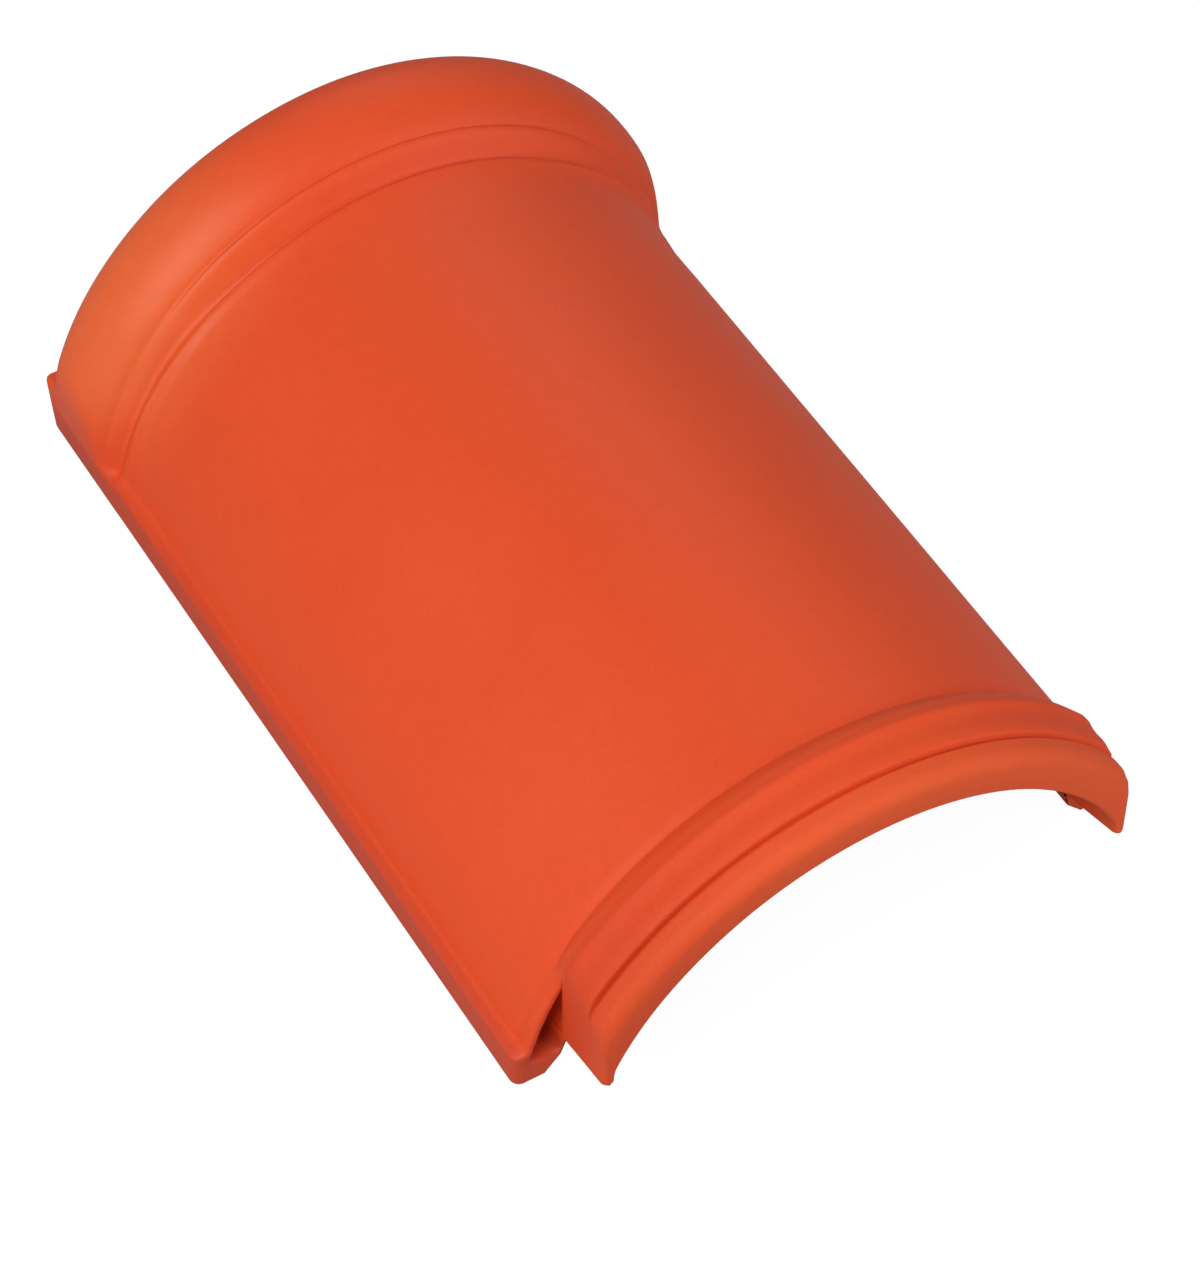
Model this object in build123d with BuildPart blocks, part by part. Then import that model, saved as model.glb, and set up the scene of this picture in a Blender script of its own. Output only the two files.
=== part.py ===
"""A fired clay ridge tile: an arched body with a raised collar at one end and an inset spigot at the other.

The tile lies on its two base strips. X runs across it, Y from the spigot to the collar and Z up, in millimetres,
and the origin is at the middle of its footprint. The arch and the spigot are turned about one level axis under
the tile. The collar's rings have a higher centre, so that it stands up from the arch more at the top than at the
sides, and they lean, so that its rim ends a little earlier at the sides. A pad on each side runs on beyond the rim.
"""
import os
from math import cos, radians, sin, sqrt, tan

from build123d import *

# The body
width = 240
cover_length = 347
arch_radius = 118.8
arch_drop = 12.5
wall = 14.5
end_round = 1.5
inner_bevel_width = 5
inner_bevel_height = 5.5
near_corner_round = 4
far_corner_round = 2.5
strip_height = 15

# The collar: flare, ridge, crease, band and crown. Its rises are measured at the top of the arch.
flare_length = 29
ridge_length = 1.6
ridge_rise = 1.8
crease_rise = 0.3
band_length = 8.5
band_rise = 11.7
shoulder_length = 7
shoulder_rise = 17
crown_length = 16
crown_rise = 20.3
brow_length = 11
brow_rise = 16.4
rim_length = 3.5
rim_rise = 11.5
collar_drop = 4
collar_lean = 1.5
facet_lean = 3.5

# The pads at the collar's sides, which end beyond its rim
rim_setback = 4
pad_length = 16
pad_height = 27

# The spigot that goes under the next tile's collar: a bead, a step down and a lip
bead_overlap = 6.5
bead_root_drop = 0.5
bead_root_slope = 0.5
bead_length = 18
bead_rise = 6.3
bead_crest = 5
bead_end_rise = 5.5
bead_end_slope = 0.2
step_drop = 0.9
lip_length = 11.7
lip_round = 5.5
spigot_inset = 15.3
spigot_wall = 15.2
spigot_foot_wall = 4.6
spigot_corner_round = 3
spigot_corner_overrun = 0.4
foot_lift = 16.5
foot_slope_rise = 10

# The recess in the end of each side wall, beside the spigot, is deepest at the spigot's side face
recess_rim = 2
recess_depth = 12
recess_floor = 11

# The socket in the collar takes the next tile's spigot with this clearance all round
socket_clearance = 1.5
socket_ramp = 12

# Places along the tile and across it
half_width = width / 2
spigot_length = bead_length + lip_length
near_tip = -(cover_length + spigot_length) / 2
body_end = near_tip + spigot_length
step = body_end - bead_length
far_end = body_end + cover_length
rim_end = far_end - rim_setback
collar_start = rim_end - rim_length - brow_length - crown_length - shoulder_length
band_start = collar_start - band_length
flare_start = band_start - ridge_length - flare_length
spigot_half_width = arch_radius - spigot_inset
socket_half_width = spigot_half_width + socket_clearance
lip_rise = bead_end_rise - step_drop
bore_radius = arch_radius - wall
spigot_bore_radius = arch_radius + lip_rise - spigot_wall
socket_start = far_end - spigot_length - socket_clearance
arch_top = arch_radius - arch_drop
full_height = arch_top + crown_rise
arch_axis = Axis((0, 0, -arch_drop), (0, 1, 0))
margin = 5


def above_arch(y, rise=0.0):
    """The point of an upright profile at a place along the tile, a rise above the top of the arch."""
    return (y, arch_top + rise)


def leaning_plane(y, rise, radius):
    """The plane of a leaning ring of the collar, centred so that the ring's top is at a place and rise."""
    lean = radians(collar_lean)
    centre = (0, y - radius * sin(lean), arch_top + rise - radius * cos(lean))
    return Plane(origin=centre, x_dir=(1, 0, 0), z_dir=(0, cos(lean), -sin(lean)))


# The recesses: the space outside a cone that narrows into the body, beside and above the spigot's feet
with BuildPart() as recesses:
    with BuildSketch(Plane.YZ):
        with BuildLine():
            Polyline(
                above_arch(body_end - margin, -recess_rim),
                above_arch(body_end - margin, -recess_rim - recess_depth),
                above_arch(body_end + recess_depth, -recess_rim - recess_depth),
                above_arch(body_end, -recess_rim),
                close=True,
            )
        make_face()
    revolve(axis=arch_axis)
    with BuildSketch(Plane.XZ.offset(-(body_end + recess_depth))):
        Rectangle(2 * width, 2 * full_height)
        Rectangle(2 * spigot_half_width, 2 * full_height, mode=Mode.SUBTRACT)
        Rectangle(2 * width, 2 * recess_floor, mode=Mode.SUBTRACT)
        Rectangle(2 * width, full_height, align=(Align.CENTER, Align.MAX), mode=Mode.SUBTRACT)
    extrude(amount=recess_depth + margin, mode=Mode.INTERSECT)

# The arch from the near end to where it begins to flare
with BuildPart() as arch:
    with BuildSketch(Plane.YZ) as arch_profile:
        with BuildLine():
            Polyline(
                (body_end, -arch_drop),
                above_arch(body_end),
                above_arch(flare_start),
                (flare_start, -arch_drop),
                close=True,
            )
        make_face()
        near_rim = arch_profile.vertices().group_by(Axis.X)[0].sort_by(Axis.Y)[-1]
        fillet(near_rim, end_round)
    revolve(axis=arch_axis)

# The flare from the arch's circle to the leaning ridge, and the drop from there into the crease
with BuildPart() as flare:
    with BuildSketch(Plane.XZ.offset(-flare_start)):
        with Locations((0, -arch_drop)):
            Circle(arch_radius)
    ridge = band_start - ridge_length
    with BuildSketch(leaning_plane(ridge, ridge_rise, arch_radius + ridge_rise)):
        Circle(arch_radius + ridge_rise)
    loft()
with BuildPart() as ridge_side:
    with BuildSketch(leaning_plane(ridge, ridge_rise, arch_radius + ridge_rise)):
        Circle(arch_radius + ridge_rise)
    with BuildSketch(leaning_plane(band_start, crease_rise, arch_radius + crease_rise)):
        Circle(arch_radius + crease_rise)
    loft()

# The band climbs from the crease to the collar's first ring
with BuildPart() as band:
    with BuildSketch(leaning_plane(band_start, crease_rise, arch_radius + crease_rise)):
        Circle(arch_radius + crease_rise)
    with BuildSketch(leaning_plane(collar_start, band_rise, arch_top + band_rise + collar_drop)):
        Circle(arch_top + band_rise + collar_drop)
    loft()

# The crown, a smooth skin over five rings from the collar's start to its rim
with BuildPart() as crown:
    for ring_place, ring_rise in (
        (collar_start, band_rise),
        (collar_start + shoulder_length, shoulder_rise),
        (collar_start + shoulder_length + crown_length, crown_rise),
        (rim_end - rim_length, brow_rise),
        (rim_end, rim_rise),
    ):
        ring_radius = arch_top + ring_rise + collar_drop
        with BuildSketch(leaning_plane(ring_place, ring_rise, ring_radius)):
            Circle(ring_radius)
    loft()

# The block that cuts the collar's sides, which lean outward, and rounds the corners of its pads
with BuildPart() as collar_block:
    with BuildSketch(Plane.XZ.offset(-far_end)):
        top_half_width = half_width + full_height * tan(radians(facet_lean))
        with BuildLine():
            Polyline(
                (-half_width, 0),
                (half_width, 0),
                (top_half_width, full_height),
                (-top_half_width, full_height),
                close=True,
            )
        make_face()
    extrude(amount=far_end - flare_start + margin)
    end_edges = collar_block.faces().sort_by(Axis.Y)[-1].edges().sort_by(Axis.X)
    fillet((end_edges[0], end_edges[-1]), far_corner_round)

# The spigot, cut by its upright side faces and lifted clear of the base, with its own wider bore
with BuildPart() as spigot:
    with BuildSketch(Plane.YZ) as spigot_profile:
        with BuildLine():
            bead = Spline(
                above_arch(body_end + bead_overlap, -bead_root_drop),
                above_arch(body_end - bead_crest, bead_rise),
                above_arch(step, bead_end_rise),
                tangents=((-1, bead_root_slope), (-1, -bead_end_slope)),
            )
            Polyline(
                bead @ 1,
                above_arch(step - step_drop, lip_rise),
                above_arch(near_tip, lip_rise),
                (near_tip, -arch_drop),
                (body_end + bead_overlap, -arch_drop),
                bead @ 0,
            )
        make_face()
        tip_corner = spigot_profile.vertices().group_by(Axis.X)[0].sort_by(Axis.Y)[-1]
        fillet(tip_corner, lip_round)
    revolve(axis=arch_axis)
    with BuildSketch(Plane.XY) as spigot_plan:
        with Locations((0, body_end + bead_overlap)):
            Rectangle(
                2 * spigot_half_width,
                bead_overlap + spigot_length + spigot_corner_overrun,
                align=(Align.CENTER, Align.MAX),
            )
        fillet(spigot_plan.vertices().group_by(Axis.Y)[0], spigot_corner_round)
        fillet(spigot_plan.vertices().group_by(Axis.Y)[-1], bead_overlap)
    extrude(amount=full_height, mode=Mode.INTERSECT)
    # The feet end above the base and rise towards the tip
    with BuildSketch(Plane.YZ):
        with BuildLine():
            Polyline(
                (body_end + bead_overlap, 0),
                (body_end + bead_overlap, foot_lift),
                (body_end, foot_lift),
                (near_tip, foot_lift + foot_slope_rise),
                (near_tip, 0),
                close=True,
            )
        make_face()
    extrude(amount=half_width, both=True, mode=Mode.SUBTRACT)

with BuildPart() as spigot_bore:
    with BuildSketch(Plane.XZ.offset(-(body_end + bead_overlap + margin))):
        with Locations((0, -arch_drop)):
            Circle(spigot_bore_radius)
        Rectangle(2 * (spigot_half_width - spigot_foot_wall), 2 * full_height, mode=Mode.INTERSECT)
    extrude(amount=spigot_length + bead_overlap + 2 * margin)

# The hollow under the body, with bevels along its base and the socket for the next tile's spigot in the collar
with BuildPart() as hollow:
    with BuildSketch(Plane.YZ) as hollow_profile:
        with BuildLine():
            Polyline(
                (body_end, -arch_drop),
                above_arch(body_end, -wall),
                above_arch(socket_start - socket_ramp, -wall),
                above_arch(socket_start, lip_rise + socket_clearance),
                above_arch(far_end + margin, bead_rise + socket_clearance),
                (far_end + margin, -arch_drop),
                close=True,
            )
        make_face()
    revolve(axis=arch_axis)
    with BuildSketch(Plane.XY.offset(-margin)):
        with Locations((0, body_end)):
            Rectangle(2 * socket_half_width, cover_length + margin, align=(Align.CENTER, Align.MIN))
    extrude(amount=full_height, mode=Mode.INTERSECT)
    # The bevels' section runs on into the hollow by their own width and height
    bevel_foot = sqrt(bore_radius**2 - arch_drop**2) + inner_bevel_width
    with BuildSketch(Plane.XZ.offset(-body_end)):
        with BuildLine():
            Polyline(
                (-bevel_foot, 0),
                (2 * inner_bevel_width - bevel_foot, 2 * inner_bevel_height),
                (bevel_foot - 2 * inner_bevel_width, 2 * inner_bevel_height),
                (bevel_foot, 0),
                close=True,
            )
        make_face()
    extrude(amount=-cover_length)

# The collar with its part of the strips and its pads
with BuildPart() as collar:
    add(flare.part)
    add(ridge_side.part)
    add(band.part)
    add(crown.part)
    with BuildSketch(Plane.XY):
        with Locations((0, band_start)):
            Rectangle(2 * width, cover_length, align=(Align.CENTER, Align.MIN))
    extrude(amount=strip_height)
    with BuildSketch(Plane.XY):
        with Locations((0, far_end)):
            Rectangle(2 * width, pad_length, align=(Align.CENTER, Align.MAX))
    extrude(amount=pad_height)
    add(collar_block.part, mode=Mode.INTERSECT)

# The arch and collar on their strips, with the spigot and the hollow
with BuildPart() as ridge_tile:
    add(arch.part)
    with BuildSketch(Plane.XY) as ground:
        with Locations((0, body_end)):
            Rectangle(width, cover_length, align=(Align.CENTER, Align.MIN))
        fillet(ground.vertices().group_by(Axis.Y)[0], near_corner_round)
    extrude(amount=full_height, mode=Mode.INTERSECT)
    with BuildSketch(Plane.XY) as strips:
        with Locations((0, body_end)):
            Rectangle(width, band_start - body_end, align=(Align.CENTER, Align.MIN))
        fillet(strips.vertices().group_by(Axis.Y)[0], near_corner_round)
    extrude(amount=strip_height)
    add(collar.part)
    add(hollow.part, mode=Mode.SUBTRACT)
    add(recesses.part, mode=Mode.SUBTRACT)
    add(spigot.part - spigot_bore.part)

ridge_tile.part.label = "ridge_tile"
os.makedirs("parts", exist_ok=True)
export_step(ridge_tile.part, "parts/ridge_tile.step")
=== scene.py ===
# %% [markdown]
# # A fired clay ridge tile
# A ridge tile covers the joint where two roof slopes meet. This lesson builds one around a frame that was
# drawn in CAD: the frame says where everything is, and the surface made here is finer than its solid.
# Blender works in metres, but the sizes of the tile are written in millimetres, as a tile maker would say
# them.

# %% The frame and two helpers
import math

import bmesh
import bpy
import numpy as np
from mathutils import Matrix, Vector


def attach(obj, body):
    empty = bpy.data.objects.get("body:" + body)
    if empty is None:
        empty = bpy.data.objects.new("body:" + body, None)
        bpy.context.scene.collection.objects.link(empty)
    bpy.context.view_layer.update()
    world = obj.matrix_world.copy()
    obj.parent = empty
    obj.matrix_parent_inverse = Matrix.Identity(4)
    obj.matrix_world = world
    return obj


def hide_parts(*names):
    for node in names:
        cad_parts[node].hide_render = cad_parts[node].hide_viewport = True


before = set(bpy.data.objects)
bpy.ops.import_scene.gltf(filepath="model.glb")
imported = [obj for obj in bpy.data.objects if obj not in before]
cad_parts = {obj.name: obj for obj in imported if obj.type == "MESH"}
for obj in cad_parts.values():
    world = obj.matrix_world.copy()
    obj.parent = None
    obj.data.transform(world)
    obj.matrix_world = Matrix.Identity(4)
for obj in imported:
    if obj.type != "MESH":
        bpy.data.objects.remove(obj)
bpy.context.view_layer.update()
MM = 0.001

# %% [markdown]
# ## The tile's main sizes
# The arch is turned about a level axis that lies under the floor, so its sides come down nearly upright
# but not quite. At one end is the spigot, which is narrower and goes under the next tile's collar, and at
# the other end is the collar. These are the frame's own sizes, so the finer surface stays where the frame
# is.

# %% Sizes of the arch and places along the tile, in millimetres
HALF_WIDTH = 120.0
COVER_LENGTH = 347.0
ARCH_RADIUS = 118.8
ARCH_DROP = 12.5
ARCH_TOP = ARCH_RADIUS - ARCH_DROP
WALL = 14.5
BORE_RADIUS = ARCH_RADIUS - WALL

BEAD_LENGTH = 18.0
LIP_LENGTH = 11.7
SPIGOT_LENGTH = BEAD_LENGTH + LIP_LENGTH
TIP = -(COVER_LENGTH + SPIGOT_LENGTH) / 2
BODY_END = TIP + SPIGOT_LENGTH
FAR_END = BODY_END + COVER_LENGTH
print(f"the spigot starts at {TIP:.2f} mm, and the arch goes from {BODY_END:.2f} to {FAR_END:.2f} mm")

# %% [markdown]
# ## Small helpers for curves
# A clay tile has no sharp line anywhere: the mould's edges are a millimetre or two round, and the clay
# slumps a little before it is fired. Two surfaces that meet are therefore joined with a smooth minimum or
# maximum, which rounds the edge between them by about the width it is given.

# %% Smooth joins, curves and rounds
def smooth_min(a, b, width):
    """The lower of two surfaces, less a small hump where they are within a width of each other."""
    near = np.maximum(width - np.abs(a - b), 0.0) / width
    return np.minimum(a, b) - near**2 * width / 4


def smooth_max(a, b, width):
    """The higher of two surfaces, plus a small fillet where they are within a width of each other."""
    return -smooth_min(-a, -b, width)


def ease(x, start, end):
    """Rises from 0 at the start to 1 at the end, with no corner: 3t^2 - 2t^3."""
    t = np.clip((x - start) / (end - start), 0.0, 1.0)
    return t * t * (3 - 2 * t)


def curve(x, points):
    """Cubic pieces through points that are each (place, height, slope), and level beyond both ends."""
    places, heights, slopes = np.array(points, float).T
    i = np.clip(np.searchsorted(places, x) - 1, 0, len(places) - 2)
    span = places[i + 1] - places[i]
    t = np.clip((x - places[i]) / span, 0.0, 1.0)
    start = (2 * t**3 - 3 * t**2 + 1) * heights[i] + (t**3 - 2 * t**2 + t) * span * slopes[i]
    return start + (3 * t**2 - 2 * t**3) * heights[i + 1] + (t**3 - t**2) * span * slopes[i + 1]


def rounding(distance, radius):
    """How far a rounded edge falls back at a distance d from its end: r - sqrt(r^2 - (r - d)^2)."""
    inside = np.clip(radius - distance, 0.0, radius)
    return radius - np.sqrt(radius**2 - inside**2)


def pulse(x, middle, width):
    """A smooth bump of height 1: exp(-((x - middle) / width)^2)."""
    return np.exp(-(((x - middle) / width) ** 2))


print("a 2 mm smooth join takes", round(float(-smooth_min(0.0, 0.0, 2.0)), 2), "mm off a corner")

# %% [markdown]
# ## The spigot
# Every point of the outside is a distance from the arch's axis, and that distance depends on two things:
# the place along the tile and the angle round the arch. So the bead, the lip, the collar, the flat sides
# and the base strips can all be written as radii and joined. Bevels or sculpting could make them too, but
# a formula keeps every size a number that the frame can be held against. The spigot's bead rises against
# the end of the arch, and a thin deep groove parts it from the lip.

# %% The bead, the groove and the lip
BEAD_RISE = 6.3
BEAD_END_RISE = 5.5
BEAD_CREST = 5.0
BEAD_OVERLAP = 6.5
BEAD_OUTLINE = (
    (-BEAD_LENGTH, BEAD_END_RISE, 0.3),
    (-BEAD_CREST, BEAD_RISE, 0.0),
    (BEAD_OVERLAP, -0.5, -1.3),
)
CREST_HEIGHT = 0.8
CREST_WIDTH = 2.0
HOLLOW_PLACE = -BEAD_CREST - 5.5
HOLLOW_DEPTH = 0.5
HOLLOW_WIDTH = 3.4
STEP_DROP = 0.9
LIP_RISE = BEAD_END_RISE - STEP_DROP
GROOVE_PLACE = -BEAD_LENGTH - 1.1
GROOVE_DEPTH = 1.9
GROOVE_WIDTH = 0.7


def spigot_rise(t):
    """The bead, the groove and the lip, as a rise above the arch's radius at t past the arch's end."""
    bead = curve(t, BEAD_OUTLINE) + CREST_HEIGHT * pulse(t, -BEAD_CREST, CREST_WIDTH)
    bead = bead - HOLLOW_DEPTH * pulse(t, HOLLOW_PLACE, HOLLOW_WIDTH)
    step = ease(t, -BEAD_LENGTH - STEP_DROP, -BEAD_LENGTH)
    return LIP_RISE + (bead - LIP_RISE) * step - GROOVE_DEPTH * pulse(t, GROOVE_PLACE, GROOVE_WIDTH)


print("the bead's crest is", round(float(spigot_rise(-BEAD_CREST)), 1), "mm above the arch")

# %% [markdown]
# The spigot's sides are flat and upright, and come in a little towards the arch. An upright plane at a
# distance X is X / sin(angle) away from the axis, so cutting a side flat is taking the lesser of two
# radii.

# %% The spigot's outside
SPIGOT_HALF_WIDTH = 103.5
ROOT_INSET = 1.8
LIP_ROUND = 5.5
SIDE_ROUND = 3.0
SIDE_ROUND_CUT = 0.4
SIDE_EDGE = 2.6
LEAST_SINE = 0.2


def flat_side(half_width, angle):
    """An upright plane as a distance from the axis: X / sin(angle), for sines down to the least one."""
    return half_width / np.maximum(np.abs(np.sin(angle)), LEAST_SINE)


def spigot_radius(y, angle):
    """The turned bead and lip, cut by the flat sides: the lesser of R and X / sin(angle)."""
    t = y - BODY_END
    turned = ARCH_RADIUS + spigot_rise(t) - rounding(y - TIP, LIP_ROUND)
    half_width = SPIGOT_HALF_WIDTH - rounding(y - TIP + SIDE_ROUND_CUT, SIDE_ROUND)
    half_width = half_width - rounding(BEAD_OVERLAP - t, BEAD_OVERLAP)
    half_width = half_width - ROOT_INSET * np.clip(1 + t / SPIGOT_LENGTH, 0.0, 1.0)
    return smooth_min(turned, flat_side(half_width, angle), SIDE_EDGE)


print("the flat sides come in by", ROOT_INSET, "mm from the tip to the arch")

# %% [markdown]
# ## The collar
# The collar rises from the arch in steps that the fingers can feel: a long flare, a soft ridge, a crease,
# a steep band, a second crease and the round crown. Over the top the steps are crisp, and down the flanks
# they run into each other. The ridge stands out more on the flanks, where a few faint wipe marks run
# beside it, and the lines die out near the feet.

# %% The collar's outline
RIM_BACK = 4.0
CROWN_LENGTH = 37.5
CROWN_TOP = 23.0
BAND_LENGTH = 8.5
CREASE_LENGTH = 1.6
FLARE_LENGTH = 29.0
RIM_END = FAR_END - RIM_BACK
COLLAR_START = RIM_END - CROWN_LENGTH
BAND_START = COLLAR_START - BAND_LENGTH
RIDGE = BAND_START - CREASE_LENGTH
FLARE_START = RIDGE - FLARE_LENGTH

BAND_RISE = 11.4
CROWN = (
    (7.0, 5.6, 0.5),
    (CROWN_TOP, 8.75, -0.05),
    (34.0, 5.0, -0.65),
    (CROWN_LENGTH, 0.1, -2.6),
)
FLARE_AND_BAND = (
    (FLARE_START, 0.0, 0.0),
    (RIDGE, 1.8, 0.16),
    (BAND_START, 0.3, 0.4),
    (COLLAR_START - 1.8, 10.6, 0.55),
    (COLLAR_START, BAND_RISE, 0.3),
)
CROWN_OVER_TOP = ((0.0, 0.0, 1.15), *CROWN)
BAND_AND_CROWN_ON_FLANKS = (
    (BAND_START - COLLAR_START - 3.0, 1.7, 0.0),
    (-5.5, 3.2, 1.1),
    (0.0, 11.3, 1.1),
    *((place, BAND_RISE + height, slope) for place, height, slope in CROWN),
)
print(f"flare from {FLARE_START:.2f}, crease at {BAND_START:.2f}, crown from {COLLAR_START:.2f} mm")

# %% [markdown]
# The ridge, the creases and the wipe marks are smooth bumps and grooves on that outline. Each one is
# written as where it lies, how wide it is and how high, and each set of them has its own part of the
# collar.

# %% The lines on the collar and its whole rise
RIDGE_ALL_ROUND = ((RIDGE - 1.5, 2.2, 0.35),)
CREASE_OVER_TOP = ((COLLAR_START - 0.3, 0.7, -0.7),)
RIDGE_AND_MARKS_ON_FLANKS = (
    (RIDGE - 1.5, 2.2, 1.6),
    (COLLAR_START + 2.5, 1.6, 0.45),
    (COLLAR_START - 0.6, 1.6, -0.45),
    (BAND_START + 4.8, 1.3, 0.35),
    (BAND_START + 2.2, 1.3, -0.35),
)
FILLING_NEAR_FEET = (
    (BAND_START - 1.0, 3.5, 0.8),
    (RIDGE, 5.0, -1.1),
)
FLANK_ANGLES = np.radians((28, 55))
FOOT_ANGLES = np.radians((60, 74))


def lines(s, bumps):
    """The sum of smooth bumps and grooves along the collar, each (place, width, height)."""
    return sum(height * pulse(s, place, width) for place, width, height in bumps)


def collar_rise(s, angle):
    """The rise of the collar over the arch at a station s, crisp over the top and soft on the flanks."""
    flank = ease(np.abs(angle), *FLANK_ANGLES)
    near_feet = ease(np.abs(angle), *FOOT_ANGLES)
    crisp = curve(s, FLARE_AND_BAND) + curve(s - COLLAR_START, CROWN_OVER_TOP) * (s > COLLAR_START)
    soft = curve(s - COLLAR_START, BAND_AND_CROWN_ON_FLANKS)
    softness = flank * ease(s, BAND_START - 3.0, BAND_START - 1.0)
    rise = crisp + (soft - crisp) * softness + lines(s, RIDGE_ALL_ROUND)
    rise = rise + (1 - flank) * lines(s, CREASE_OVER_TOP) + near_feet * lines(s, FILLING_NEAR_FEET)
    return rise + flank * (1 - near_feet) * lines(s, RIDGE_AND_MARKS_ON_FLANKS)


print("the crown is", round(float(collar_rise(COLLAR_START + CROWN_TOP, 0.0)), 2), "mm above the arch")

# %% [markdown]
# ## The arch with its strips and pads
# The collar's rings are circles whose centres lie a little above the arch's axis. A low strip with a
# level ledge runs along each side of the tile, so that it stands steadily, and the pad at each side of
# the collar is that ledge raised. The hollow above the ledge is wider at the arch's near end and along
# the collar, where the wet clay was wiped, than it is between them.

# %% Sizes of the strips, pads and joins
COLLAR_DROP = 4.0
STRIP_HEIGHT = 15.0
PAD_HEIGHT = 27.0
PAD_START = COLLAR_START + 6.0
PAD_FULL = COLLAR_START + 14.0
NEAR_CORNER = 4.0
FAR_CORNER = 2.5
HEEL_ROUND = 1.5
FACET_LEAN = math.tan(math.radians(3.5))
FACET_LEAN_RUN = 5.0
VALLEY_PLACE = BEAD_OVERLAP + 0.8
VALLEY_DEPTH = 0.5
VALLEY_WIDTH = 2.2
BEAD_BACK_FALL = 4.0
BEAD_JOIN = 2.4
LEAST_SIDE_SINE = 0.3
LEAST_COSINE = 0.05

NEAR_END_RUN = (2.0, 20.0)
FLARE_RUN = (FLARE_START - 25.0, FLARE_START + 15.0)
RIM_RUN = (RIM_END - 8.0, RIM_END)
LEDGE_JOIN = 7.0
LEDGE_JOIN_AT_NEAR_END = 4.0
LEDGE_JOIN_AT_FLARE = 8.0
EDGE_JOIN = 2.4
EDGE_JOIN_AT_NEAR_END = 3.0
EDGE_JOIN_AT_RIM = 5.0
EDGE_JOIN_AT_BAND = 4.0
BAND_RUN = 14.0
print("the strips are", STRIP_HEIGHT, "mm high and the pads", PAD_HEIGHT)


# %% The body's outside
def ring_radius(s, angle):
    """A ring whose centre is e above the arch's axis: e cos(angle) + sqrt(radius^2 - e^2 sin^2(angle))."""
    lift = (ARCH_DROP - COLLAR_DROP) * np.clip((s - BAND_START) / BAND_LENGTH, 0.0, 1.0)
    radius = ARCH_RADIUS + collar_rise(s, angle) - lift
    return lift * np.cos(angle) + np.sqrt(radius**2 - (lift * np.sin(angle)) ** 2)


def side_radius(s, angle):
    """The upright side face, which leans in at the collar: X / (sin(angle) - lean cos(angle))."""
    lean = FACET_LEAN * ease(s, BAND_START - FACET_LEAN_RUN, BAND_START + FACET_LEAN_RUN)
    half_width = HALF_WIDTH - rounding(s - BODY_END, NEAR_CORNER) - rounding(FAR_END - s, FAR_CORNER)
    sine = np.maximum(np.abs(np.sin(angle)), LEAST_SIDE_SINE)
    return (half_width - lean * ARCH_DROP) / np.maximum(sine - lean * np.cos(angle), LEAST_SINE)


def body_radius(s, angle):
    """The ring or the ledge, whichever is further out, cut by the side face."""
    t = s - BODY_END
    near_end = 1 - ease(t, *NEAR_END_RUN)
    ledge_join = LEDGE_JOIN + LEDGE_JOIN_AT_NEAR_END * near_end
    ledge_join = ledge_join + LEDGE_JOIN_AT_FLARE * ease(s, *FLARE_RUN)
    edge_join = EDGE_JOIN + EDGE_JOIN_AT_NEAR_END * near_end + EDGE_JOIN_AT_RIM * ease(s, *RIM_RUN)
    edge_join = edge_join + EDGE_JOIN_AT_BAND * pulse(s, BAND_START, BAND_RUN)
    ring = ring_radius(np.minimum(s, RIM_END), angle) - rounding(t, HEEL_ROUND)
    ring = ring - VALLEY_DEPTH * pulse(t, VALLEY_PLACE, VALLEY_WIDTH)
    ledge_height = STRIP_HEIGHT + (PAD_HEIGHT - STRIP_HEIGHT) * ease(s, PAD_START, PAD_FULL)
    ledge = (ledge_height + ARCH_DROP) / np.maximum(np.cos(angle), LEAST_COSINE)
    return smooth_min(smooth_max(ring, ledge, ledge_join), side_radius(s, angle), edge_join)


def outer_radius(s, angle):
    """The body, with the back of the bead lying on its end."""
    bead_back = BODY_END + BEAD_OVERLAP
    bead = spigot_radius(np.clip(s, BODY_END, bead_back), angle)
    bead = bead - BEAD_BACK_FALL * np.maximum(s - bead_back, 0.0)
    return smooth_max(body_radius(s, angle), bead, BEAD_JOIN)


print("crown radius", round(float(ring_radius(COLLAR_START + CROWN_TOP, 0.0)), 2), "mm at the top")

# %% [markdown]
# ## The inside
# Nobody sees the inside once the tile is laid, but it has to fit: the bore is a plain arch, and the
# collar is hollowed out into a socket that takes the next tile's spigot. A shelf of clay about 20 mm deep
# is left where the socket stops.

# %% The bore and the socket
FIT = 1.5
SHELF_RUN = 12.0
END_ROUND = 1.5
INNER_EDGE = 1.5
SPIGOT_WALL = 15.2
SPIGOT_SIDE_WALL = 4.6
SPIGOT_BORE = ARCH_RADIUS + LIP_RISE - SPIGOT_WALL
SOCKET_START = FAR_END - SPIGOT_LENGTH - FIT
SOCKET_OUTLINE = (
    (SOCKET_START - SHELF_RUN, BORE_RADIUS, 0.3),
    (SOCKET_START, ARCH_RADIUS + LIP_RISE + FIT, 0.3),
    (FAR_END, ARCH_RADIUS + BEAD_RISE + FIT, 0.05),
)
PAD_TOP_RUN = (PAD_HEIGHT + 0.6, PAD_HEIGHT - 0.8)


def on_pad(z):
    """1 at the height of the pads and 0 above them."""
    return ease(z, *PAD_TOP_RUN)


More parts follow.
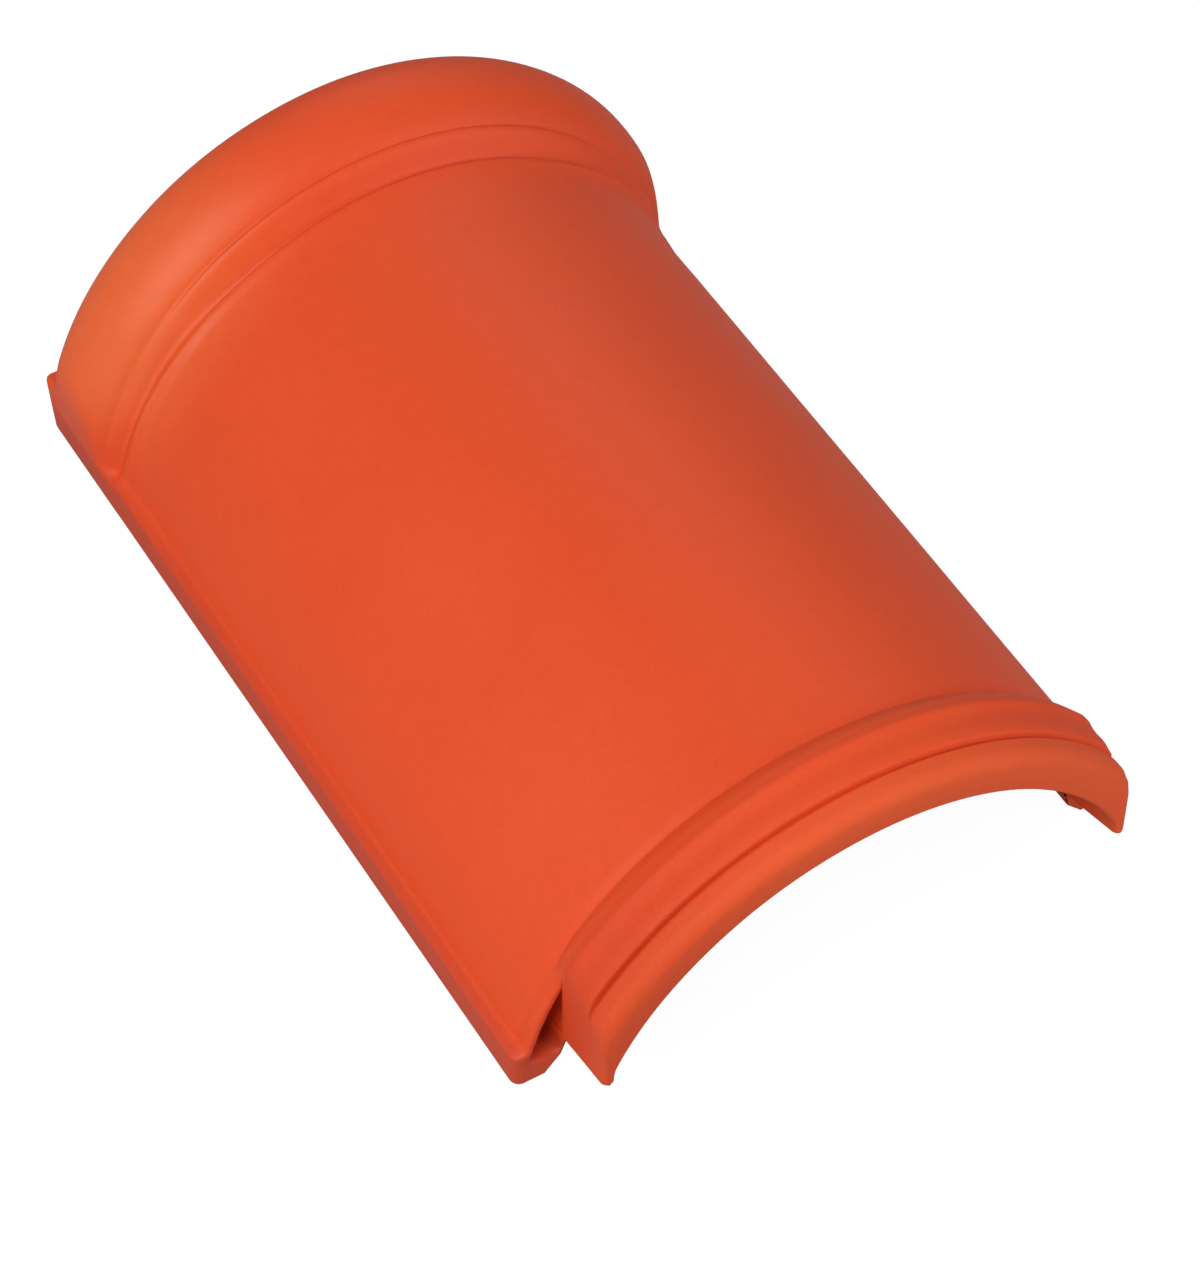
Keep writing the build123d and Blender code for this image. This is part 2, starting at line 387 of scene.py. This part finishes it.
def hollow(turned, half_width, s, angle):
    """A turned hollow cut by upright side planes, with a small round at each open end."""
    radius = smooth_min(turned, flat_side(half_width, angle), INNER_EDGE)
    pad = on_pad(radius * np.cos(angle) - ARCH_DROP)
    radius = radius + rounding(s - TIP, END_ROUND) + pad * rounding(FAR_END - s, END_ROUND)
    return radius + (1 - pad) * rounding(RIM_END - np.minimum(s, RIM_END), END_ROUND)


def spigot_inside(s, angle):
    """The bore under the bead and the lip."""
    return hollow(SPIGOT_BORE, SPIGOT_HALF_WIDTH - SPIGOT_SIDE_WALL, s, angle)


def body_inside(s, angle):
    """The bore under the arch, and past the shelf the socket."""
    return hollow(curve(s, SOCKET_OUTLINE), SPIGOT_HALF_WIDTH + FIT, s, angle)


print("the bore is", 2 * BORE_RADIUS, "mm across its own axis")

# %% [markdown]
# ## The loops
# The skin of the tile is one closed sheet: loops of points are carried along the tile, each loop going
# over the outside, round the right foot, back along the inside and round the left foot. The loops and
# their points lie close together at the edges and creases, and far apart where the tile is plain.

# %% Stations along the tile and angles round it
def spaced(*runs):
    """Places from runs of (start, end, count), joined without repeats."""
    return np.unique(np.round(np.concatenate([np.linspace(a, b, n) for a, b, n in runs]), 4))


BEAD_END = BODY_END - BEAD_LENGTH
spigot_stations = spaced(
    (TIP, TIP + 1.5, 9),
    (TIP + 1.5, TIP + 6.0, 9),
    (TIP + 6.0, BEAD_END - 3.0, 6),
    (BEAD_END - 3.0, BEAD_END + 0.6, 28),
    (BEAD_END + 0.6, BODY_END, 22),
)
body_stations = spaced(
    (BODY_END, BODY_END + 1.5, 8),
    (BODY_END + 1.5, BODY_END + 9.0, 16),
    (BODY_END + 9.0, BODY_END + 22.0, 9),
    (BODY_END + 22.0, FLARE_START, 20),
    (FLARE_START, RIDGE - 6.0, 9),
    (RIDGE - 6.0, COLLAR_START - 1.8, 27),
    (COLLAR_START - 1.8, COLLAR_START + 1.4, 13),
    (COLLAR_START + 1.4, RIM_END - 6.0, 22),
    (RIM_END - 6.0, RIM_END, 15),
    (RIM_END, FAR_END - FAR_CORNER, 4),
    (FAR_END - FAR_CORNER, FAR_END, 9),
)
MAIN_ANGLE = math.radians(60)
MAIN_POINTS = 61
SIDE_POINTS = 61
main_angles = np.linspace(-MAIN_ANGLE, MAIN_ANGLE, MAIN_POINTS)
side_steps = np.linspace(0, 1, SIDE_POINTS + 1)[1:]
print(len(spigot_stations), "loops on the spigot and", len(body_stations), "on the body")


# %% Angles that reach a height over the floor
REPEATS = 12


def angles_to(last):
    """Angles that are the same for every loop in the middle and stretch to the loop's own last angle."""
    side = MAIN_ANGLE + (last - MAIN_ANGLE)[:, None] * side_steps
    middle = np.broadcast_to(main_angles, (len(last), len(main_angles)))
    return np.concatenate([-side[:, ::-1], middle, side], 1)


def half_section(radius_of, s, height, first_guess):
    """Points across the tile that end at a height, found by repeating angle = acos(height / radius)."""
    last = np.full_like(height, first_guess)[:, None]
    for _ in range(REPEATS):
        last = np.arccos(np.clip((height[:, None] + ARCH_DROP) / radius_of(s, last), -1.0, 1.0))
    angle = angles_to(last[:, 0])
    radius = radius_of(s, angle)
    return np.stack([radius * np.sin(angle), radius * np.cos(angle) - ARCH_DROP], -1)


print("points across the outside of a loop:", angles_to(np.ones(1)).size)

# %% [markdown]
# A foot is a short run of points: round the outer corner, along the base and up a bevel to the inside. On
# the spigot the feet end well above the floor and slope up towards the tip. Past the collar's rim only
# the pads go on, so there the points above them stay where they are and the ones below move on to the
# pads' upright ends.

# %% All the loops
OUTER_EDGE = 1.2
CORNER_TURNS = np.radians((30, 60, 90))
FOOT_LIFT = 16.5
FOOT_SLOPE_RISE = 10.0
SPIGOT_BEVEL = (1.0, 1.0)
BASE_BEVEL = (6.0, 6.7)
COLLAR_LEAN = math.tan(math.radians(1.5))
OUTER_GUESS = 1.3
INNER_GUESS = 1.2


def right_foot(outer_x, inner_x, base, bevel_width):
    """The foot's points: round the outer corner, the middle of the base and the start of the bevel."""
    corner_x = outer_x[:, None] - OUTER_EDGE * (1 - np.cos(CORNER_TURNS))
    corner_z = base[:, None] + OUTER_EDGE * (1 - np.sin(CORNER_TURNS))
    bevel_x = inner_x + bevel_width
    x = np.column_stack([corner_x, (corner_x[:, -1] + bevel_x) / 2, bevel_x])
    return np.stack([x, np.column_stack([corner_z, base, base])], -1)


def placed(s, loop):
    """The loops at their stations, leaning at the collar, and past the rim with only the pads moving on."""
    z = loop[..., 1]
    ring = np.minimum(s, RIM_END)
    lean = COLLAR_LEAN * np.clip((ring - FLARE_START) / (RIDGE - FLARE_START), 0.0, 1.0)
    y = ring - lean * (ARCH_TOP + collar_rise(ring, 0.0) - z)
    past_rim = np.clip((s - RIM_END) / (FAR_END - RIM_END), 0.0, 1.0)
    y = y + (FAR_END - y) * past_rim * on_pad(z)
    return np.stack([loop[..., 0], y, z], -1)


def loops(stations, outer_of, inner_of, base, bevel):
    """All loops for some stations: an array of stations x points x 3, in millimetres."""
    s = stations[:, None]
    bevel_width, bevel_height = bevel
    outside = half_section(outer_of, s, base + OUTER_EDGE, OUTER_GUESS)
    inside = half_section(inner_of, s, base + bevel_height, INNER_GUESS)
    foot = right_foot(outside[:, -1, 0], inside[:, -1, 0], base, bevel_width)
    left_foot = foot[:, ::-1] * (-1, 1)
    return placed(s, np.concatenate([outside, foot, inside[:, ::-1], left_foot], 1))


spigot_base = FOOT_LIFT + FOOT_SLOPE_RISE * (BODY_END - spigot_stations) / SPIGOT_LENGTH
spigot_loops = loops(spigot_stations, spigot_radius, spigot_inside, spigot_base, SPIGOT_BEVEL)
body_base = rounding(body_stations - BODY_END, HEEL_ROUND)
body_loops = loops(body_stations, outer_radius, body_inside, body_base, BASE_BEVEL)
print("points in a loop:", spigot_loops.shape[1], "stations:", len(spigot_loops) + len(body_loops))

# %% [markdown]
# ## The recess beside the spigot
# Where the spigot's flat side meets the end of the side wall, the mould leaves a pointed hollow, which is
# the dark gap beside the spigot. The end of the wall is a patch between the spigot's last loop and the
# body's first. The hollow is a depth that depends on where a point of that patch is, and it reaches in a
# little behind the flat side, as far as the bore lets it.

# %% The end of the side walls
RECESS_RADIUS = ARCH_RADIUS - 2.0
RECESS_STEEPNESS = 2.2
RECESS_FLOOR = (9.5, 12.5)
RECESS_SIDE_RUN = 1.0
LEAST_WALL = 1.2
UNDERCUT = 2.8
UNDERCUT_RUN = 2.5
UNDERCUT_DEPTHS = (0.5, 4.0)
MOUTH_DEPTH = 0.8
WALL_END_ROWS = 22
ROOT_HALF_WIDTH = SPIGOT_HALF_WIDTH - ROOT_INSET


def bore_side(z):
    """How far out the bore is at a height: sqrt(radius^2 - height^2), from the arch's axis."""
    return np.sqrt(np.maximum(BORE_RADIUS**2 - (z + ARCH_DROP) ** 2, 0.0))


def recess_depth(x, z):
    """A cone's depth: as deep as the point is inside the radius, times the steepness."""
    cone = np.maximum(RECESS_RADIUS - np.hypot(x, z + ARCH_DROP), 0.0)
    start = np.maximum(ROOT_HALF_WIDTH - LEAST_WALL, bore_side(z) + LEAST_WALL)
    beside = ease(np.abs(x), start, start + RECESS_SIDE_RUN)
    return RECESS_STEEPNESS * cone * beside * ease(z, *RECESS_FLOOR)


def undercut(x, z):
    """How far the hollow reaches in behind the flat side, stopping the least wall short of the bore."""
    room = np.clip(ROOT_HALF_WIDTH - bore_side(z) - LEAST_WALL, 0.0, UNDERCUT)
    beside = ease(np.abs(x), ROOT_HALF_WIDTH + UNDERCUT_RUN, ROOT_HALF_WIDTH)
    return room * beside * ease(recess_depth(x, z), *UNDERCUT_DEPTHS) * np.sign(x)


mix = np.linspace(0, 1, WALL_END_ROWS)[:, None, None]
wall_end = spigot_loops[-1] * (1 - mix) + body_loops[0] * mix
depth = recess_depth(wall_end[..., 0], wall_end[..., 2])
wall_end[..., 0] -= undercut(wall_end[..., 0], wall_end[..., 2])
wall_end[..., 1] = BODY_END + depth
mouth = wall_end[:1].copy()
mouth[..., 1] = BODY_END + np.minimum(depth[:1], MOUTH_DEPTH)
rows = np.concatenate([spigot_loops, mouth, wall_end, body_loops])
print("the recess is", round(float(depth.max()), 1), "mm deep")

# %% [markdown]
# ## The small unevenness of clay
# A pressed tile is never quite true. Its faces wander by a few tenths of a millimetre over a hand's width
# as it dries, and that is what makes the light on it look soft. The wander is a sum of a few long waves
# with a fixed random seed, and it moves each point straight out from the axis, less near the floor so
# that the tile lies flat.

# %% Long waves over the surface
WAVES = 14
WAVE_HEIGHT = 0.08
WAVE_LENGTHS = (45, 160)
CALM_HEIGHTS = (4.0, 30.0)
random = np.random.default_rng(7)
wave_length = random.uniform(*WAVE_LENGTHS, WAVES)
wave_turn = random.uniform(0, math.pi, WAVES)
wave_phase = random.uniform(0, 2 * math.pi, WAVES)
across = np.arctan2(rows[..., 0], rows[..., 2] + ARCH_DROP) * ARCH_RADIUS
along = rows[..., 1]
wander = np.zeros_like(across)
for length, turn, phase in zip(wave_length, wave_turn, wave_phase):
    wander += np.sin(2 * math.pi * (across * np.cos(turn) + along * np.sin(turn)) / length + phase)
wander *= WAVE_HEIGHT / math.sqrt(WAVES / 2) * ease(rows[..., 2], *CALM_HEIGHTS)
outward = np.stack([rows[..., 0], np.zeros_like(across), rows[..., 2] + ARCH_DROP], -1)
outward /= np.linalg.norm(outward, axis=-1, keepdims=True)
rows = rows + outward * wander[..., None]
print("the surface wanders by up to", round(float(np.abs(wander).max()), 2), "mm")

# %% [markdown]
# ## The mesh
# Neighbouring loops are joined by four-sided faces, and each end is closed by faces between its outer and
# inner points. Where two loops touch, their points are merged. The faces are shaded smooth, and every
# edge that turns by more than 40 degrees is marked so that it stays crisp to the eye.

# %% Faces from rows of points
count, around = rows.shape[:2]
index = np.arange(count * around).reshape(count, around)
ahead = np.roll(index, -1, 1)
skin = np.stack([index[:-1], ahead[:-1], ahead[1:], index[1:]], -1).reshape(-1, 4)
outer_count = len(main_angles) + 2 * len(side_steps)
foot_count = (around - 2 * outer_count) // 2


def end_faces(row):
    """Faces that close an end: four-sided between outside and inside, and one face for each foot."""
    outside = row[:outer_count]
    inside = row[outer_count + foot_count:2 * outer_count + foot_count][::-1]
    between = np.stack([outside[:-1], outside[1:], inside[1:], inside[:-1]], -1).tolist()
    right = row[outer_count - 1:outer_count + foot_count + 1].tolist()
    left = row[2 * outer_count + foot_count - 1:].tolist() + [int(row[0])]
    return between + [right, left]


faces = skin.tolist() + end_faces(index[0]) + end_faces(index[-1])
print(len(faces), "faces")

# %% The tile in place of the frame's node
SHARP_ANGLE = math.radians(40)
TOUCHING = 1e-6
tile_mesh = bpy.data.meshes.new("ridge_tile_clay")
tile_mesh.from_pydata((rows.reshape(-1, 3) * MM).tolist(), [], faces)
work = bmesh.new()
work.from_mesh(tile_mesh)
bmesh.ops.remove_doubles(work, verts=work.verts, dist=TOUCHING)
bmesh.ops.recalc_face_normals(work, faces=work.faces)
work.to_mesh(tile_mesh)
open_edges = sum(not edge.is_manifold for edge in work.edges)
work.free()
tile_mesh.shade_smooth()
tile_mesh.set_sharp_from_angle(angle=SHARP_ANGLE)
tile = bpy.data.objects.new("ridge_tile_clay", tile_mesh)
bpy.context.scene.collection.objects.link(tile)
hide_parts("ridge_tile")
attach(tile, "root")
tile_mesh.calc_loop_triangles()
print(len(tile_mesh.loop_triangles), "triangles,", open_edges, "open edges")

# %% [markdown]
# ## Colours and nodes
# Colours are picked as sRGB hex codes, but Blender's shaders work in linear light, so one function
# turns a code into a linear colour. A second one adds a node, because building a material by script is
# that same step many times over.

# %% A helper for colours and one for nodes
def linear(code):
    """A linear colour from an sRGB hex code, by the sRGB curve."""
    values = np.array([int(code[i:i + 2], 16) for i in (1, 3, 5)]) / 255
    low, high = values / 12.92, ((values + 0.055) / 1.055) ** 2.4
    return (*np.where(values <= 0.04045, low, high).tolist(), 1.0)


def node(tree, kind, settings=None, **links):
    """Adds a node, sets its properties and its inputs, and links an input where it is given a socket."""
    added = tree.nodes.new(kind)
    for name, value in (settings or {}).items():
        setattr(added, name, value)
    for name, value in links.items():
        key = name.replace("_", " ")
        socket = added.inputs[int(name[5:])] if name.startswith("input") else added.inputs[key]
        if isinstance(value, bpy.types.NodeSocket):
            tree.links.new(value, socket)
        else:
            socket.default_value = value
    return added


print("half grey is", round(linear("#808080")[0], 3), "in linear light")

# %% [markdown]
# ## Fired clay
# The real finish is unglazed terracotta, a fine red-firing clay that was pressed and then fired at about
# 1000 degrees. What it gives the eye is a matt warm red with a faint sheen where the press smoothed it, a
# grain of well under a millimetre, and a colour that drifts a little from patch to patch. The grain is
# drawn at about 1 mm, coarser than the real one, so that it shows in a picture of the whole tile. Some
# light is painted into the colour: a painted highlight makes the collar's left flank and the lip a lighter
# orange, and painted shade makes the bead's left flank a deeper red and the base strips darker. The spigot
# was wiped with a sponge, so it is rougher than the pressed arch.

# %% Patterns and masks of the clay
clay = bpy.data.materials.new("unglazed_terracotta")
clay.use_nodes = True
tree = clay.node_tree
tree.nodes.clear()
place = node(tree, "ShaderNodeTexCoord").outputs["Object"]
axes = node(tree, "ShaderNodeSeparateXYZ", Vector=place)
PER_METRE = 1000.0
SMOOTH = {"interpolation_type": "SMOOTHSTEP"}


def noise(size, detail, roughness):
    """A noise whose patches are about a size across, in millimetres."""
    scale = PER_METRE / size
    return node(tree, "ShaderNodeTexNoise", Vector=place, Scale=scale, Detail=detail, Roughness=roughness)


def spread(pattern, low, high, start, end):
    """A pattern's values from low to high, stretched to go from start to end."""
    return node(tree, "ShaderNodeMapRange", Value=pattern.outputs["Fac"], input1=low, input2=high,
                input3=start, input4=end).outputs["Result"]


def mask(axis, start, end, most=1.0):
    """0 at a start and the most at an end along X, Y or Z, both in millimetres, with a smooth fade."""
    return node(tree, "ShaderNodeMapRange", SMOOTH, Value=axes.outputs[axis], input1=start * MM,
                input2=end * MM, input3=0.0, input4=most).outputs["Result"]


def combined(operation, a, b):
    """Two values put together by an operation, such as MULTIPLY or MAXIMUM."""
    return node(tree, "ShaderNodeMath", {"operation": operation}, input0=a, input1=b).outputs[0]


def layered(share, below, above):
    """A colour laid over another by a share."""
    mixed = node(tree, "ShaderNodeMix", {"data_type": "RGBA"}, input0=share, input6=below, input7=above)
    return mixed.outputs[2]


DRIFT_SIZE = 70.0
MOTTLE_SIZE = 6.0
GRAIN_SIZE = 1.0
drift = noise(DRIFT_SIZE, 3.0, 0.5)
mottle = noise(MOTTLE_SIZE, 4.0, 0.6)
grain = noise(GRAIN_SIZE, 2.0, 0.6)
left_flank = mask("X", -20.0, -95.0)
spigot = mask("Y", -156.0, -162.0, 0.4)
# Painted highlight: the collar's left flank and the lip are made a lighter orange, in place of the sheen
# that light puts there.
collar_painted_highlight = combined("MULTIPLY", mask("Y", 105.0, 150.0, 0.75),
                        combined("MULTIPLY", left_flank, mask("Z", 20.0, 55.0)))
painted_highlight = combined("MAXIMUM", mask("Y", -172.0, -186.0, 0.3), collar_painted_highlight)
print("pattern and mask nodes:", len(tree.nodes))

# %% The terracotta material
DEEP_RED = linear("#DC4517")
WARM_RED = linear("#E24D1E")
# A lighter orange for the painted highlight on the collar's left flank and the lip.
PAINTED_HIGHLIGHT_ORANGE = linear("#E66833")
MOTTLE_RED = linear("#C43A18")
# A deeper red for the painted shade on the bead's left flank.
PAINTED_SHADE_RED = linear("#C03410")
# A darker red for the painted shade on the base strips.
STRIP_SHADE_RED = linear("#BF3E1F")
GRAIN_PINK = linear("#EE7448")
WIPED_ROUGHER = 0.45
GRAIN_RELIEF = 0.06

fired = layered(drift.outputs["Fac"], DEEP_RED, WARM_RED)
with_painted_highlight = layered(painted_highlight, fired, PAINTED_HIGHLIGHT_ORANGE)
mottled = layered(spread(mottle, 0.35, 0.7, 0.0, 0.12), with_painted_highlight, MOTTLE_RED)
# Painted shade: the bead's left flank is made a deeper red.
with_bead_shade = layered(combined("MULTIPLY", left_flank, spigot), mottled, PAINTED_SHADE_RED)
# Painted shade: everything lower than about 15 mm above the floor, the base strips and the feet, is made
# darker.
with_strip_shade = layered(mask("Z", 17.5, 13.5, 0.85), with_bead_shade, STRIP_SHADE_RED)
grained = layered(spread(grain, 0.4, 0.75, 0.0, 0.10), with_strip_shade, GRAIN_PINK)
pressed = spread(drift, 0.3, 0.7, 0.46, 0.56)
wiped = combined("ADD", combined("MULTIPLY", spigot, WIPED_ROUGHER), pressed)
bump = node(tree, "ShaderNodeBump", Height=grain.outputs["Fac"], Strength=0.25, Distance=GRAIN_RELIEF * MM)
surface = node(tree, "ShaderNodeBsdfPrincipled", Base_Color=grained, Roughness=wiped,
               Normal=bump.outputs["Normal"], IOR=1.38)
node(tree, "ShaderNodeOutputMaterial", Surface=surface.outputs["BSDF"])
tile_mesh.materials.append(clay)
print("clay nodes:", len(tree.nodes))

# %% [markdown]
# ## The floor and the sky
# The tile lies on plain white paper under a dim even sky. The paper is grey to the light, so that it
# doesn't throw too much back at the tile, and it is shown to the camera nearly white, but it keeps the
# tile's shadow.

# %% Floor and sky
FLOOR = 6.0
floor_corners = [(-FLOOR, -FLOOR, 0), (FLOOR, -FLOOR, 0), (FLOOR, FLOOR, 0), (-FLOOR, FLOOR, 0)]
floor_mesh = bpy.data.meshes.new("floor")
floor_mesh.from_pydata(floor_corners, [], [(0, 1, 2, 3)])
floor = bpy.data.objects.new("floor", floor_mesh)
bpy.context.scene.collection.objects.link(floor)
paper = bpy.data.materials.new("white_paper")
paper.use_nodes = True
tree = paper.node_tree
tree.nodes.clear()
GLOW_SHARE = 0.8
GLOW_STRENGTH = 1.2
matt = node(tree, "ShaderNodeBsdfDiffuse", Color=linear("#B2B2B2"))
glow = node(tree, "ShaderNodeEmission", Color=linear("#FFFFFF"), Strength=GLOW_STRENGTH)
seen = node(tree, "ShaderNodeLightPath").outputs["Is Camera Ray"]
share = combined("MULTIPLY", seen, GLOW_SHARE)
both = node(tree, "ShaderNodeMixShader", input0=share, input1=matt.outputs[0], input2=glow.outputs[0])
node(tree, "ShaderNodeOutputMaterial", Surface=both.outputs[0])
floor_mesh.materials.append(paper)

world = bpy.data.worlds.new("studio_sky")
bpy.context.scene.world = world
world.use_nodes = True
tree = world.node_tree
tree.nodes.clear()
SKY_STRENGTH = 0.32
seen = node(tree, "ShaderNodeLightPath").outputs["Is Camera Ray"]
strength = node(tree, "ShaderNodeMapRange", Value=seen, input3=SKY_STRENGTH, input4=1.0)
sky = node(tree, "ShaderNodeBackground", Color=linear("#FFFFFF"), Strength=strength.outputs["Result"])
node(tree, "ShaderNodeOutputWorld", Surface=sky.outputs[0])
print("sky strength", SKY_STRENGTH)

# %% [markdown]
# ## The lamps
# Soft studio light comes from large lamps: the main one is high on the left, a lower one is in front on
# the right, and a weak one is behind. Lamps well to the side bring out the bead and the collar's steps,
# which light from above would flatten.

# %% Lamps
def direction(azimuth, elevation):
    """The way to a lamp or the camera from two angles in degrees, azimuth 0 being in front."""
    a, e = math.radians(azimuth), math.radians(elevation)
    return Vector((math.sin(a) * math.cos(e), -math.cos(a) * math.cos(e), math.sin(e)))


def lamp(name, azimuth, elevation, distance, size, power):
    """A square area lamp that looks at the tile from a direction and a distance."""
    light = bpy.data.lights.new(name, "AREA")
    light.size = size
    light.energy = power
    made = bpy.data.objects.new(name, light)
    way = direction(azimuth, elevation)
    made.location = way * distance
    made.rotation_euler = way.to_track_quat("Z", "Y").to_euler()
    bpy.context.scene.collection.objects.link(made)


lamp("key_lamp", -70.0, 42.0, 1.6, 1.1, 19.0)
lamp("front_lamp", 36.0, 22.0, 1.9, 1.2, 13.0)
lamp("back_lamp", 145.0, 42.0, 1.9, 1.2, 4.5)
print("three lamps")

# %% [markdown]
# ## The camera
# The camera looks down at the tile from the left in front, through a long lens. Its direction, distance
# and lens were solved from the tile's own straight edges and arcs.

# %% Camera
AZIMUTH = -30.99
ELEVATION = 50.60
ROLL = math.radians(0.41)
DISTANCE = 1.589
FOCAL_PIXELS = 4404.0
LONG_SIDE_PIXELS = 1272.0
SENSOR_MM = 36.0
LOOKS_AT = (4.01, 153.52 + BODY_END, 0.0)
back = direction(AZIMUTH, ELEVATION)
level_turn = math.radians(AZIMUTH)
level_right = Vector((math.cos(level_turn), math.sin(level_turn), 0.0))
level_up = back.cross(level_right)
right = level_right * math.cos(ROLL) + level_up * math.sin(ROLL)
up = level_up * math.cos(ROLL) - level_right * math.sin(ROLL)
camera_data = bpy.data.cameras.new("camera")
camera_data.sensor_width = SENSOR_MM
camera_data.lens = FOCAL_PIXELS / LONG_SIDE_PIXELS * SENSOR_MM
camera = bpy.data.objects.new("camera", camera_data)
turned = Matrix((right, up, back)).transposed().to_4x4()
camera.matrix_world = Matrix.Translation(Vector(LOOKS_AT) * MM + back * DISTANCE) @ turned
bpy.context.scene.collection.objects.link(camera)
bpy.context.scene.camera = camera
bpy.context.scene.view_settings.view_transform = "Standard"
print("lens", round(camera_data.lens, 1), "mm")
